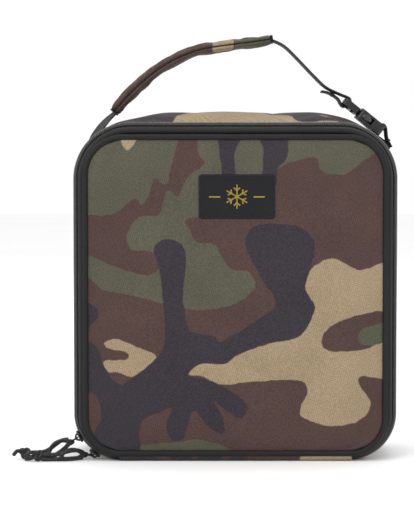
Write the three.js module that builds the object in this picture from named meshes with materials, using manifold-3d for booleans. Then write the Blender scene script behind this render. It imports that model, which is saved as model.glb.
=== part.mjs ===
// Insulated cooler bag: a soft rectangular lunch cooler that stands upright.
// Its whole front is a lid that hinges along the bottom edge and closes with a zip
// round the left, top and right. A webbing strap with a padded sleeve and a
// side-release buckle makes the handle, and a flat zipped pocket covers the back.
//
// Millimetres. +X is the bag's right as seen from the front, +Y points to the back,
// +Z is up. The origin is at the middle of the base.

import * as THREE from "three";
import { mergeVertices } from "three/addons/utils/BufferGeometryUtils.js";
import Module from "manifold-3d";

const wasm = await Module();
wasm.setup();

// ---- driving dimensions ----

const GAP = 0.3; // clearance between touching pieces
const BODY = { halfWidth: 116, bottom: 0, top: 244, bottomRadius: 33, topRadius: 40 };
const PANEL = { halfWidth: 106, bottom: 8, top: 232, bottomRadius: 23, topRadius: 25 };
const SEAM_X = 82; // where the gusset meets the bottom panel

// Depth stations, front to back.
const LID_FRONT = -46.2;
const HINGE_Y = -44; // the lid turns about this line, at the height of its lower edge
const LID_SKIN_FRONT = -45.4;
const LID_SKIN_BACK = -44.6;
const LID_FOAM_BACK = -39;
const LID_BACK = -37.4;
const BODY_FRONT = -36.5;
const BODY_COIL_BACK = -35.1;
const TAPE_BACK = -31;
const FOAM_BACK = 34;
const BACK_FOAM_BACK = 40.7;
const BACK_PANEL_FRONT = 41;
const BACK_PANEL_BACK = 42.4;
const BODY_BACK = 44;

// Layers of the wall, as insets from the body's outline.
const FABRIC = 1.2;
const FOAM_OUT = 2.5;
const FOAM_IN = 7.5;
const LINER_OUT = 7.8;
const LINER_IN = 8.6;
const TAPE_OUT = 1.0;
const TAPE_IN = 2.1;
const COIL_IN = 2.2;

const STRAP_WIDTH = 20;
const STRAP_THICK = 1.4;
const SLEEVE_WIDTH = 24;
const SLEEVE_THICK = 7.4;
const CORD_RADIUS = 1.5;

const BACK_ZIP_Z = 135; // height of the back pocket's zip

const CURVE_SEGMENTS = 7;
const CORD_SIDES = 8;

// ---- materials ----

const FINISH = {
  camoFabric: { color: 0x5f5548, roughness: 0.9, metalness: 0 },
  lining: { color: 0xa9abad, roughness: 0.45, metalness: 0 },
  foam: { color: 0xe8e6e0, roughness: 0.95, metalness: 0 },
  trim: { color: 0x2b292b, roughness: 0.75, metalness: 0 },
  zipTape: { color: 0x262527, roughness: 0.85, metalness: 0 },
  zipTeeth: { color: 0x1c1c1e, roughness: 0.4, metalness: 0 },
  sliderMetal: { color: 0x27272a, roughness: 0.35, metalness: 0.7 },
  wire: { color: 0x8d8d90, roughness: 0.3, metalness: 0.9 },
  cord: { color: 0x1a1b19, roughness: 0.8, metalness: 0 },
  webbing: { color: 0x1f1f20, roughness: 0.8, metalness: 0 },
  buckle: { color: 0x18181a, roughness: 0.45, metalness: 0 },
  label: { color: 0x1b1a1d, roughness: 0.8, metalness: 0 },
};

const cooler = new THREE.Group();

function addPart(name, geometry, finish, parent = cooler) {
  const mesh = new THREE.Mesh(geometry, new THREE.MeshStandardMaterial(FINISH[finish]));
  mesh.name = name;
  parent.add(mesh);
  return mesh;
}

// ---- solid tools ----

function toSolid(geometry) {
  const bare = geometry.clone();
  bare.deleteAttribute("normal");
  bare.deleteAttribute("uv");
  const merged = mergeVertices(bare, 1e-4);
  const mesh = new wasm.Mesh({
    numProp: 3,
    vertProperties: merged.attributes.position.array,
    triVerts: new Uint32Array(merged.index.array),
  });
  return new wasm.Manifold(mesh);
}

function toGeometry(solid) {
  const mesh = solid.getMesh();
  const geometry = new THREE.BufferGeometry();
  geometry.setAttribute("position", new THREE.BufferAttribute(mesh.vertProperties, 3));
  geometry.setIndex(new THREE.BufferAttribute(mesh.triVerts, 1));
  geometry.computeVertexNormals();
  return geometry;
}

function cut(geometry, ...tools) {
  const solid = tools.reduce((left, tool) => left.subtract(toSolid(tool)), toSolid(geometry));
  return toGeometry(solid);
}

function join(...geometries) {
  const [first, ...rest] = geometries.map(toSolid);
  return toGeometry(rest.reduce((sum, solid) => sum.add(solid), first));
}

function block(low, high) {
  const size = high.map((value, axis) => value - low[axis]);
  const middle = high.map((value, axis) => (value + low[axis]) / 2);
  return new THREE.BoxGeometry(...size).translate(...middle);
}

// ---- outlines in the front view, x across and z up ----

function roundedOutline(frame, inset = 0, path = new THREE.Shape()) {
  const side = frame.halfWidth - inset;
  const low = frame.bottom + inset;
  const high = frame.top - inset;
  const lowRadius = frame.bottomRadius - inset;
  const highRadius = frame.topRadius - inset;
  path.moveTo(lowRadius - side, low);
  path.absarc(side - lowRadius, low + lowRadius, lowRadius, -Math.PI / 2, 0);
  path.absarc(side - highRadius, high - highRadius, highRadius, 0, Math.PI / 2);
  path.absarc(highRadius - side, high - highRadius, highRadius, Math.PI / 2, Math.PI);
  path.absarc(lowRadius - side, low + lowRadius, lowRadius, Math.PI, Math.PI * 1.5);
  return path;
}

// A shape in the front view, given depth from y = front to y = back.
function slab(shape, front, back) {
  const depth = back - front;
  const options = { depth, bevelEnabled: false, curveSegments: CURVE_SEGMENTS };
  return new THREE.ExtrudeGeometry(shape, options).rotateX(Math.PI / 2).translate(0, back, 0);
}

function plate(frame, inset, front, back) {
  return slab(roundedOutline(frame, inset), front, back);
}

function ring(frame, outer, inner, front, back) {
  const shape = roundedOutline(frame, outer);
  shape.holes.push(roundedOutline(frame, inner, new THREE.Path()));
  return slab(shape, front, back);
}

// How high the straight bottom is cut away between an arch's two ends.
const ARCH_FOOT = 20;

// A ring without its straight bottom stretch: it runs up the left, over the top and
// down the right, and its two ends stop where the bottom panel starts.
function arch(frame, outer, inner, front, back) {
  const bottomStretch = block([-SEAM_X, front - 1, -1], [SEAM_X, back + 1, ARCH_FOOT]);
  return cut(ring(frame, outer, inner, front, back), bottomStretch);
}

// A strip seen from its edge: it follows a curve in the front view, moved sideways by
// offset, and its width runs from front to back.
function strip(curve, { thickness, width, offset = 0, steps = 24 }) {
  const upper = [];
  const lower = [];
  for (let i = 0; i <= steps; i++) {
    const point = curve.getPointAt(i / steps);
    const along = curve.getTangentAt(i / steps);
    const normal = new THREE.Vector2(-along.y, along.x);
    upper.push(point.clone().addScaledVector(normal, offset + thickness / 2));
    lower.push(point.clone().addScaledVector(normal, offset - thickness / 2));
  }
  return slab(new THREE.Shape([...lower, ...upper.reverse()]), -width / 2, width / 2);
}

function frontCurve(...points) {
  return new THREE.SplineCurve(points.map(([x, z]) => new THREE.Vector2(x, z)));
}

// ---- body of the bag ----

addPart("gusset_fabric", arch(BODY, 0, FABRIC, TAPE_BACK + GAP, BACK_FOAM_BACK), "camoFabric");
addPart(
  "bottom_panel",
  block([GAP - SEAM_X, TAPE_BACK + GAP, 0], [SEAM_X - GAP, BACK_FOAM_BACK, FABRIC]),
  "camoFabric",
);
addPart("gusset_foam", ring(BODY, FOAM_OUT, FOAM_IN, BODY_FRONT, FOAM_BACK - GAP), "foam");
addPart("back_foam", plate(BODY, FOAM_OUT, FOAM_BACK, BACK_FOAM_BACK), "foam");

function linerTub() {
  const outside = plate(BODY, LINER_OUT, BODY_FRONT, FOAM_BACK - GAP);
  const inside = plate(BODY, LINER_IN, BODY_FRONT - 1, FOAM_BACK - GAP - (LINER_IN - LINER_OUT));
  return cut(outside, inside);
}
addPart("liner_tub", linerTub(), "lining");

addPart("body_zip_tape", arch(BODY, TAPE_OUT, TAPE_IN, BODY_COIL_BACK + GAP, TAPE_BACK), "zipTape");
addPart("body_zip_coil", arch(BODY, 0, COIL_IN, BODY_FRONT, BODY_COIL_BACK), "zipTeeth");

// ---- back panel with its flat zipped pocket ----

const BACK_ZIP_HALF = 4.5; // half height of the gap that the two zip tapes fill
const BACK_COIL_HALF = 1.2;

function backStripe(low, high, halfWidth, front, back) {
  return block([-halfWidth, front, low], [halfWidth, back, high]);
}

function backPanelPart(low, high) {
  const whole = plate(PANEL, GAP, BACK_PANEL_FRONT, BACK_PANEL_BACK);
  const side = PANEL.halfWidth + 1;
  const keep = toSolid(backStripe(low, high, side, BACK_PANEL_FRONT - 1, BACK_PANEL_BACK + 1));
  return toGeometry(toSolid(whole).intersect(keep));
}

addPart("back_upper_panel", backPanelPart(BACK_ZIP_Z + BACK_ZIP_HALF, PANEL.top), "camoFabric");
addPart("back_pocket_panel", backPanelPart(PANEL.bottom, BACK_ZIP_Z - BACK_ZIP_HALF), "camoFabric");

const backTapeSide = PANEL.halfWidth - 1;
for (const [name, low, high] of [
  ["back_zip_tape_upper", BACK_COIL_HALF + GAP, BACK_ZIP_HALF - GAP],
  ["back_zip_tape_lower", GAP - BACK_ZIP_HALF, -BACK_COIL_HALF - GAP],
]) {
  const tape = backStripe(
    BACK_ZIP_Z + low,
    BACK_ZIP_Z + high,
    backTapeSide,
    BACK_PANEL_FRONT,
    BACK_PANEL_FRONT + 0.8,
  );
  addPart(name, tape, "zipTape");
}
addPart(
  "back_zip_coil",
  backStripe(
    BACK_ZIP_Z - BACK_COIL_HALF,
    BACK_ZIP_Z + BACK_COIL_HALF,
    backTapeSide,
    BACK_PANEL_FRONT,
    BACK_PANEL_FRONT + 1.6,
  ),
  "zipTeeth",
);
addPart("back_piping", ring(PANEL, -4.6, 0, BACK_PANEL_FRONT, BODY_BACK), "trim");

// The slider stands at the right-hand end, and its moulded tab hangs past the edge.
const BACK_SLIDER = { x: 100, length: 10, height: 7, front: 42.9, back: 44.1 };
const TAB = { reach: 38, radius: 3, front: 44.4, back: 45.9, slant: THREE.MathUtils.degToRad(20) };
const TAB_PIVOT = { x: 104.4, z: BACK_ZIP_Z - 1.5, radius: 0.9, hole: 1.3, end: 46.2 };

function backSlider() {
  const { x, length, height, front, back } = BACK_SLIDER;
  const shield = block(
    [x - length / 2, front, BACK_ZIP_Z - height / 2],
    [x + length / 2, back, BACK_ZIP_Z + height / 2],
  );
  const reach = TAB_PIVOT.end - front;
  const post = new THREE.CylinderGeometry(TAB_PIVOT.radius, TAB_PIVOT.radius, reach, 12)
    .translate(TAB_PIVOT.x, front + reach / 2, TAB_PIVOT.z);
  return join(shield, post);
}

function pullTab() {
  const outline = new THREE.Shape();
  outline.absarc(0, 0, TAB.radius, 0, Math.PI);
  outline.absarc(0, -TAB.reach, TAB.radius, Math.PI, Math.PI * 2);
  const hole = new THREE.Path();
  hole.absarc(0, 0, TAB_PIVOT.hole, 0, Math.PI * 2);
  outline.holes.push(hole);
  return slab(outline, TAB.front, TAB.back);
}

addPart("back_slider", backSlider(), "sliderMetal");
const backPullTab = addPart("back_pull_tab", pullTab(), "trim");
backPullTab.position.set(TAB_PIVOT.x, 0, TAB_PIVOT.z);
backPullTab.rotation.y = -TAB.slant;

// ---- lid: the whole front, hinged along its lower edge ----

addPart("lid_panel", plate(PANEL, GAP, LID_SKIN_FRONT, LID_SKIN_BACK), "camoFabric");
addPart("lid_piping", ring(PANEL, -4.6, 0, LID_FRONT, LID_SKIN_BACK), "trim");
addPart("lid_foam", plate(BODY, FOAM_OUT, LID_SKIN_BACK + GAP, LID_FOAM_BACK - GAP), "foam");
addPart("lid_liner", plate(BODY, FOAM_OUT, LID_FOAM_BACK, LID_BACK - GAP), "lining");
addPart(
  "lid_zip_tape",
  arch(BODY, TAPE_OUT, TAPE_IN, LID_SKIN_BACK + GAP, LID_FOAM_BACK - GAP),
  "zipTape",
);
addPart("lid_zip_coil", arch(BODY, 0, COIL_IN, LID_FOAM_BACK, LID_BACK), "zipTeeth");
addPart(
  "hinge_strip",
  block([3 - SEAM_X, HINGE_Y + 0.5, 0.4], [SEAM_X - 3, TAPE_BACK, 1.4]),
  "camoFabric",
);

const LABEL = { x: 1, z: 191.5, width: 55, height: 32, radius: 3 };
function labelPatch() {
  const { width, height, radius } = LABEL;
  const frame = {
    halfWidth: width / 2,
    bottom: LABEL.z - height / 2,
    top: LABEL.z + height / 2,
    bottomRadius: radius,
    topRadius: radius,
  };
  return plate(frame, 0, LID_FRONT, LID_SKIN_FRONT - GAP).translate(LABEL.x, 0, 0);
}
addPart("label_patch", labelPatch(), "label");

// Moulded stops close the two ends of the zip.
for (const [name, side] of [["zip_stop_left", -1], ["zip_stop_right", 1]]) {
  const stop = block([-1.2, BODY_FRONT, 0.3], [1.2, TAPE_BACK, 2.1]);
  addPart(name, stop.translate(side * (SEAM_X - 1.5), 0, 0), "zipTeeth");
}

// ---- zip sliders, their pull rings and the cord pulls, at the lower left corner ----

const CORNER = { x: -83, z: 33, radius: 33 }; // the zip runs round this centre here
const CHAIN_Y = (LID_BACK + BODY_FRONT) / 2;
const SLIDER = { reach: 4.6, halfWidth: 3.8, inner: 33.4, outer: 34.8 };
const BRIDGE = { outer: 3.2, inner: 1.8, width: 1.6 };
const RING = { radius: 3, wire: 0.5, pass: 35.7 };

// A slider is made pointing to -X, at the end of the radius, and turned to its place.
function zipSlider() {
  const oval = new THREE.Shape().absellipse(0, 0, SLIDER.reach, SLIDER.halfWidth, 0, Math.PI * 2);
  const thick = SLIDER.outer - SLIDER.inner;
  const shield = new THREE.ExtrudeGeometry(oval, { depth: thick, bevelEnabled: false })
    .rotateY(-Math.PI / 2)
    .translate(-SLIDER.inner, 0, 0);
  const arc = new THREE.Shape();
  arc.absarc(0, 0, BRIDGE.outer, Math.PI / 2, Math.PI * 1.5);
  arc.absarc(0, 0, BRIDGE.inner, Math.PI * 1.5, Math.PI / 2, true);
  const bridge = slab(arc, -BRIDGE.width / 2, BRIDGE.width / 2)
    .translate(0.2 - SLIDER.outer, 0, 0);
  return join(shield, bridge).translate(0, CHAIN_Y, 0);
}

function placeOnCorner(mesh, angle) {
  mesh.position.set(CORNER.x, 0, CORNER.z);
  mesh.rotation.y = Math.PI - THREE.MathUtils.degToRad(angle);
}

function pullRing(angle, direction) {
  const towards = THREE.MathUtils.degToRad(direction);
  const place = THREE.MathUtils.degToRad(angle);
  const passX = CORNER.x + RING.pass * Math.cos(place);
  const passZ = CORNER.z + RING.pass * Math.sin(place);
  return new THREE.TorusGeometry(RING.radius, RING.wire, 8, 20)
    .translate(RING.radius, 0, 0)
    .rotateY(-towards)
    .translate(passX, CHAIN_Y, passZ);
}

const PULLS = [
  {
    place: 208,
    direction: 213,
    legs: {
      a: [
        [-121.4, -36.95, 14.7],
        [-125.5, -36.6, 14.2],
        [-130, -36.2, 11.4],
        [-134.5, -35.8, 7.9],
        [-139, -35.4, 5.6],
        [-144, -35, 4.95],
        [-149, -35, 4.95],
      ],
      b: [
        [-121.2, -36.95, 10.9],
        [-124, -37.2, 8.4],
        [-127.5, -37, 5.6],
        [-131.5, -36.4, 3.2],
        [-136, -35.8, 1.9],
        [-141, -35.2, 1.6],
        [-149, -35, 1.6],
      ],
    },
    knot: { x: -153.6, y: -35, z: 4.6, across: 4.4, along: 4.2 },
  },
  {
    place: 236,
    direction: 180,
    legs: {
      a: [
        [-110.6, -38, 5.3],
        [-114, -40, 7],
        [-118.5, -42.6, 7.3],
        [-123, -44.4, 6.4],
        [-127.5, -45.4, 5.3],
        [-132, -45.8, 4.95],
        [-138.5, -46, 4.95],
      ],
      b: [
        [-111.2, -38.2, 1.7],
        [-114, -39.8, 1.6],
        [-118.5, -42.4, 1.6],
        [-123, -44.3, 1.6],
        [-127.5, -45.3, 1.6],
        [-132, -45.8, 1.6],
        [-138.5, -46, 1.6],
      ],
    },
    knot: { x: -142.9, y: -46, z: 4.4, across: 4.2, along: 4 },
  },
];

function cordTube(points) {
  const path = new THREE.CatmullRomCurve3(points.map((point) => new THREE.Vector3(...point)));
  const section = new THREE.Shape().absarc(0, 0, CORD_RADIUS, 0, Math.PI * 2);
  const options = {
    steps: 12,
    extrudePath: path,
    bevelEnabled: false,
    curveSegments: CORD_SIDES / 2,
  };
  return new THREE.ExtrudeGeometry(section, options);
}

PULLS.forEach((pull, index) => {
  const number = index + 1;
  placeOnCorner(addPart(`zip_slider_${number}`, zipSlider(), "sliderMetal"), pull.place);
  addPart(`pull_ring_${number}`, pullRing(pull.place, pull.direction), "wire");
  for (const [leg, points] of Object.entries(pull.legs)) {
    addPart(`pull_cord_${number}${leg}`, cordTube(points), "cord");
  }
  const { x, y, z, across, along } = pull.knot;
  const knot = new THREE.SphereGeometry(1, 12, 8).scale(along, across, across);
  addPart(`pull_knot_${number}`, knot.translate(x, y, z), "cord");
});

// ---- carrying strap ----

// From the left anchor to the sleeve, through the sleeve, and on to the buckle.
const leftStrapCurve = frontCurve([-102.6, 235.6], [-98.2, 243.4], [-92, 249.6], [-87.4, 253.6]);
const sleeveCurve = frontCurve(
  [-87, 254],
  [-75, 267],
  [-58, 281.5],
  [-42, 291.5],
  [-24, 298],
  [-5, 301],
  [14, 303],
  [26, 305],
);

addPart(
  "strap_left_webbing",
  strip(leftStrapCurve, { thickness: STRAP_THICK, width: STRAP_WIDTH }),
  "webbing",
);

function sleeveTube() {
  const outside = strip(sleeveCurve, { thickness: SLEEVE_THICK, width: SLEEVE_WIDTH });
  const ends = { thickness: SLEEVE_THICK - 2.4, width: SLEEVE_WIDTH - 2.4 };
  const inside = strip(lengthened(sleeveCurve), ends);
  return cut(outside, inside);
}

// The same curve with a short straight piece added at each end.
function lengthened(curve) {
  const points = curve.getSpacedPoints(24);
  const first = points[0].clone().addScaledVector(curve.getTangentAt(0), -2);
  const last = points[24].clone().addScaledVector(curve.getTangentAt(1), 2);
  return new THREE.SplineCurve([first, ...points, last]);
}

addPart("handle_sleeve", sleeveTube(), "camoFabric");
addPart(
  "handle_core_webbing",
  strip(sleeveCurve, { thickness: STRAP_THICK, width: STRAP_WIDTH, offset: -1.4 }),
  "webbing",
);
addPart(
  "handle_padding",
  strip(sleeveCurve, { thickness: 2.2, width: STRAP_WIDTH + 0.6, offset: 0.9 }),
  "foam",
);

// ---- side-release buckle, made along its own X and set at a slant ----

const BUCKLE = {
  start: [80.5, 261.5],
  slope: THREE.MathUtils.degToRad(39),
  width: 27,
  thick: 8,
  mouth: 14,
  end: 36,
  corner: 3,
};
const buckle = new THREE.Group();
buckle.position.set(BUCKLE.start[0], 0, BUCKLE.start[1]);
buckle.rotation.y = BUCKLE.slope;
cooler.add(buckle);

// An outline seen from above the buckle, given thickness along its own Z.
function moulded(outline, thick) {
  const options = { depth: thick, bevelEnabled: false, curveSegments: CURVE_SEGMENTS };
  return new THREE.ExtrudeGeometry(outline, options).translate(0, 0, -thick / 2);
}

function roundedBox(fromX, toX, halfWidth, thick, radius) {
  const outline = new THREE.Shape();
  outline.absarc(fromX + radius, radius - halfWidth, radius, Math.PI, Math.PI * 1.5);
  outline.absarc(toX - radius, radius - halfWidth, radius, Math.PI * 1.5, Math.PI * 2);
  outline.absarc(toX - radius, halfWidth - radius, radius, 0, Math.PI / 2);
  outline.absarc(fromX + radius, halfWidth - radius, radius, Math.PI / 2, Math.PI);
  return moulded(outline, thick);
}

const CAVITY = { halfWidth: 10.6, halfHeight: 2.3, end: 29 };
const WINDOW = { from: 18, to: 26.5 };
const SOCKET_SLOT = { from: 30.5, to: 33.6 };

function buckleSocket() {
  const half = BUCKLE.width / 2;
  const { halfWidth, halfHeight, end } = CAVITY;
  const outside = roundedBox(BUCKLE.mouth, BUCKLE.end, half, BUCKLE.thick, BUCKLE.corner);
  const cavity = block(
    [BUCKLE.mouth - 1, -halfWidth, -halfHeight],
    [end, halfWidth, halfHeight],
  );
  const windows = block(
    [WINDOW.from, -half - 1, -halfHeight],
    [WINDOW.to, half + 1, halfHeight],
  );
  const slot = block(
    [SOCKET_SLOT.from, -STRAP_WIDTH / 2 - 1, -BUCKLE.thick],
    [SOCKET_SLOT.to, STRAP_WIDTH / 2 + 1, BUCKLE.thick],
  );
  return cut(outside, cavity, windows, slot);
}

const PLUG = {
  from: 0,
  to: 13.4,
  halfWidth: 12.9,
  halfThick: 2.6,
  corner: 2,
  prongEnd: 27,
  prongHalf: 2.6,
  prongThick: 3.4,
};
const PLUG_SLOTS = [[2.6, 6.4], [8.4, 10.8]];
const STRAP_PLAY = 0.6;

function bucklePlug() {
  const base = roundedBox(PLUG.from, PLUG.to, PLUG.halfWidth, PLUG.halfThick * 2, PLUG.corner);
  const prong = block(
    [PLUG.to - 1, -PLUG.prongHalf, -PLUG.prongThick / 2],
    [PLUG.prongEnd, PLUG.prongHalf, PLUG.prongThick / 2],
  );
  const slotHalf = STRAP_WIDTH / 2 + STRAP_PLAY;
  const slots = PLUG_SLOTS.map(([from, to]) =>
    block([from, -slotHalf, -BUCKLE.thick], [to, slotHalf, BUCKLE.thick]));
  return cut(join(base, prong), ...slots);
}

// A springy arm: it grows from the plug, runs inside the socket and ends in a thumb
// barb that fills the side window.
const ARM = { inner: 8.2, outer: 10.2, barb: 12.6, bulge: 13.4, tipInner: 8.6, thick: 3.8 };
const BARB = { from: WINDOW.from + 0.6, bend: WINDOW.to - 2, to: WINDOW.to - 0.6, tip: WINDOW.to - 1.6 };

function buckleArm(side) {
  const outline = new THREE.Shape();
  outline.moveTo(PLUG.to + GAP, side * ARM.inner);
  outline.lineTo(PLUG.to + GAP, side * ARM.outer);
  outline.lineTo(BARB.from, side * ARM.outer);
  outline.lineTo(BARB.from, side * ARM.barb);
  outline.quadraticCurveTo(BARB.bend, side * ARM.bulge, BARB.to, side * ARM.outer);
  outline.lineTo(BARB.tip, side * ARM.tipInner);
  return moulded(outline, ARM.thick);
}

addPart("buckle_socket", buckleSocket(), "buckle", buckle);
addPart("buckle_plug", bucklePlug(), "buckle", buckle);
addPart("buckle_arm_front", buckleArm(-1), "buckle", buckle);
addPart("buckle_arm_back", buckleArm(1), "buckle", buckle);

// The right webbing comes off the sleeve, goes round the plug's end bar and ends in a
// short free tail under itself. A point given in the buckle's own x and z.
function onBuckle(x, z) {
  const { start, slope } = BUCKLE;
  return [
    start[0] + x * Math.cos(slope) + z * Math.sin(slope),
    start[1] - x * Math.sin(slope) + z * Math.cos(slope),
  ];
}

const rightStrapCurve = frontCurve(
  [26.6, 305],
  [40, 300.5],
  [54, 288.5],
  [66, 276],
  onBuckle(-5, 3.4),
  onBuckle(0.5, 3.7),
  onBuckle(3.6, 3),
  onBuckle(4.5, 0),
  onBuckle(3.6, -3),
  onBuckle(0.5, -3.7),
  onBuckle(-6, -2.2),
  onBuckle(-14, -2.6),
  onBuckle(-18, -4.6),
);
addPart(
  "strap_right_webbing",
  strip(rightStrapCurve, { thickness: STRAP_THICK, width: STRAP_WIDTH, steps: 64 }),
  "webbing",
);

const anchorLoopCurve = frontCurve(
  onBuckle(47.6, -6.4),
  onBuckle(41, -3.6),
  onBuckle(35.8, -4.9),
  onBuckle(33, -4.4),
  onBuckle(32, 0),
  onBuckle(33, 4.4),
  onBuckle(36.5, 4.6),
  onBuckle(42, 0.4),
  onBuckle(48.6, -4.4),
);
addPart(
  "anchor_loop",
  strip(anchorLoopCurve, { thickness: STRAP_THICK, width: STRAP_WIDTH, steps: 40 }),
  "webbing",
);

export default cooler;
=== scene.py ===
"""Looks for the insulated cooler bag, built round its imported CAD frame.

The bag stands on z = 0 and faces -Y. Shapes are worked out in millimetres, and
new_piece() turns them into metres. Cord routes and calls to the frame are in metres.
"""
import math
from collections import namedtuple

import bmesh
import bpy
import numpy as np
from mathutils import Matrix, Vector, noise


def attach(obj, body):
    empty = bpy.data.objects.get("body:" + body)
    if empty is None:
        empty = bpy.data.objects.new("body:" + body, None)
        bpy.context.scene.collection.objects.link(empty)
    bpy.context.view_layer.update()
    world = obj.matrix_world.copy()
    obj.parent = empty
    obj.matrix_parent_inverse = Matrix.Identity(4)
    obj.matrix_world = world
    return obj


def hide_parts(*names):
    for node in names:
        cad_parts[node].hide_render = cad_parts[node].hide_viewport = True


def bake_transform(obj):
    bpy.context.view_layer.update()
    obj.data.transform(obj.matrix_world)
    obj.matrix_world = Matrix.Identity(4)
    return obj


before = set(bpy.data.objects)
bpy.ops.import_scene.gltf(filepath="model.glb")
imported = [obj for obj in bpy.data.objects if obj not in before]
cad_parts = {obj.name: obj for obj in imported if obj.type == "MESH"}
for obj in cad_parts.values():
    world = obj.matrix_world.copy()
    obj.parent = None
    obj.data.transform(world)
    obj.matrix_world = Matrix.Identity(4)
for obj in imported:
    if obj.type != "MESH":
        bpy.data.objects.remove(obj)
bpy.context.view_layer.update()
MM = 0.001

# ---- driving dimensions, in millimetres ----

BODY = {"half": 116, "bottom": 0, "top": 244, "low_radius": 33, "high_radius": 40}
PANEL = {"half": 106, "bottom": 8, "top": 232, "low_radius": 23, "high_radius": 25}
SEAM_X = 82            # where the zip arch and the gusset end along the bottom
PANEL_FRONT = -45      # the fabric face of the lid
LID_FOAM_BACK = -39
GUSSET_FRONT = -30.7
GUSSET_BACK = 40.8
BACK_FACE = 42
BACK_HALF = 107        # half the width of the back's panels and of its zip
BACK_ZIP_Z = 135
PIPING_RADIUS = 2.3
FAR = 60.0             # the distance stored where no outline of the print is near
SIM_FRAMES = 20
COIL_PITCH = 1.35
COIL_SIDES = 8
STRAP_WIDTH = 20
STRAP_THICK = 1.5
CORD_WIDTH = 3

# ---- camera and stage ----

VIEW_TARGET = Vector((-0.0205, -0.046, 0.147))
VIEW_DISTANCE = 1.4
VIEW_HEIGHT = 0.372    # how much of the front face's plane fills the frame's long side
VIEW_ELEVATION = math.radians(3)


def placed(name, data):
    """A new object in the scene."""
    thing = bpy.data.objects.new(name, data)
    bpy.context.scene.collection.objects.link(thing)
    return thing


def add_camera():
    data = bpy.data.cameras.new("camera")
    data.lens = data.sensor_width * VIEW_DISTANCE / VIEW_HEIGHT
    camera = placed("camera", data)
    back = Vector((0, -math.cos(VIEW_ELEVATION), math.sin(VIEW_ELEVATION)))
    camera.location = VIEW_TARGET + back * VIEW_DISTANCE
    camera.rotation_euler = (-back).to_track_quat("-Z", "Y").to_euler()
    bpy.context.scene.camera = camera


def add_light(name, place, size, power):
    data = bpy.data.lights.new(name, "AREA")
    data.size = size
    data.energy = power
    light = placed(name, data)
    light.location = place
    aim = Vector((0, 0, 0.12)) - light.location
    light.rotation_euler = aim.to_track_quat("-Z", "Y").to_euler()


def add_stage():
    add_light("key", (-0.9, -1.5, 1.5), 1.2, 13)
    add_light("fill", (1.4, -1.1, 0.9), 1.2, 3)
    add_light("rear", (0.3, 1.7, 1.4), 1.2, 9)
    add_light("top", (0, -0.1, 2.0), 1.0, 7)
    world = bpy.data.worlds.new("studio")
    world.use_nodes = True
    world.node_tree.nodes["Background"].inputs["Color"].default_value = (1, 1, 1, 1)
    world.node_tree.nodes["Background"].inputs["Strength"].default_value = 1.0
    bpy.context.scene.world = world
    bpy.context.scene.view_settings.view_transform = "Standard"
    reach = 6
    mesh = bpy.data.meshes.new("floor")
    corners = [(-reach, -reach, 0), (reach, -reach, 0), (reach, reach, 0), (-reach, reach, 0)]
    mesh.from_pydata(corners, [], [(0, 1, 2, 3)])
    floor = placed("floor", mesh)
    floor.data.materials.append(floor_material())


# ---- node helpers ----

def linear(code, alpha=1.0):
    """A colour such as '5f6252', as the linear values that a shader takes."""
    values = [int(code[i:i + 2], 16) / 255 for i in (0, 2, 4)]
    return [v / 12.92 if v <= 0.04045 else ((v + 0.055) / 1.055) ** 2.4 for v in values] + [alpha]


class Shader:
    """A new Principled material, with short calls for adding nodes to it."""

    def __init__(self, name):
        self.material = bpy.data.materials.new(name)
        self.material.use_nodes = True
        self.tree = self.material.node_tree
        self.surface = self.tree.nodes["Principled BSDF"]
        self.place = self.add("ShaderNodeTexCoord").outputs["Object"]

    def add(self, kind, inputs=None, **settings):
        node = self.tree.nodes.new(kind)
        for key, value in settings.items():
            setattr(node, key, value)
        for key, value in (inputs or {}).items():
            self.put(node.inputs[key], value)
        return node

    def put(self, socket, value):
        if isinstance(value, bpy.types.NodeSocket):
            self.tree.links.new(value, socket)
        else:
            socket.default_value = value

    def set(self, **values):
        for key, value in values.items():
            self.put(self.surface.inputs[key.replace("_", " ")], value)

    def math(self, operation, a, b=0.0):
        return self.add("ShaderNodeMath", {0: a, 1: b}, operation=operation).outputs[0]

    def noise(self, scale, detail=2.0):
        inputs = {"Vector": self.place, "Scale": scale, "Detail": detail}
        return self.add("ShaderNodeTexNoise", inputs).outputs["Fac"]

    def mix(self, factor, a, b):
        node = self.add("ShaderNodeMix", data_type="RGBA")
        self.put(node.inputs["Factor"], factor)
        self.put(node.inputs["A"], a)
        self.put(node.inputs["B"], b)
        return node.outputs["Result"]

    def range(self, value, low, high, to_low, to_high):
        inputs = {"Value": value, "From Min": low, "From Max": high, "To Min": to_low, "To Max": to_high}
        return self.add("ShaderNodeMapRange", inputs).outputs["Result"]

    def waves(self, direction, pitch):
        """A smooth ripple, 0 to 1, across the direction, one crest each pitch in metres."""
        along = self.add("ShaderNodeVectorMath", {0: self.place, 1: Vector(direction).normalized()},
                         operation="DOT_PRODUCT").outputs["Value"]
        angle = self.math("MULTIPLY", along, 2 * math.pi / pitch)
        return self.range(self.math("SINE", angle), -1.0, 1.0, 0.0, 1.0)

    def weave(self, pitch, lean=0.0):
        """Crossing threads that show on a face of any direction."""
        one = self.waves((1, 0.7, 0.25 + lean), pitch)
        two = self.waves((0.25 - lean, 0.7, -1), pitch)
        return self.math("MAXIMUM", one, two)

    def bump(self, height, distance, strength=1.0):
        inputs = {"Height": height, "Distance": distance, "Strength": strength}
        self.set(Normal=self.add("ShaderNodeBump", inputs).outputs["Normal"])


# ---- materials ----

CAMO_COLOURS = {
    "green": ("454437", "585647"),
    "brown": ("3e2d2a", "523d39"),
    "leaf": ("444436", "565645"),
    "tan": ("88765a", "a08e74"),
    "navy": ("242026", "38323a"),
}
CAMO_LAYERS = ("brown", "leaf", "tan", "navy")


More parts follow.
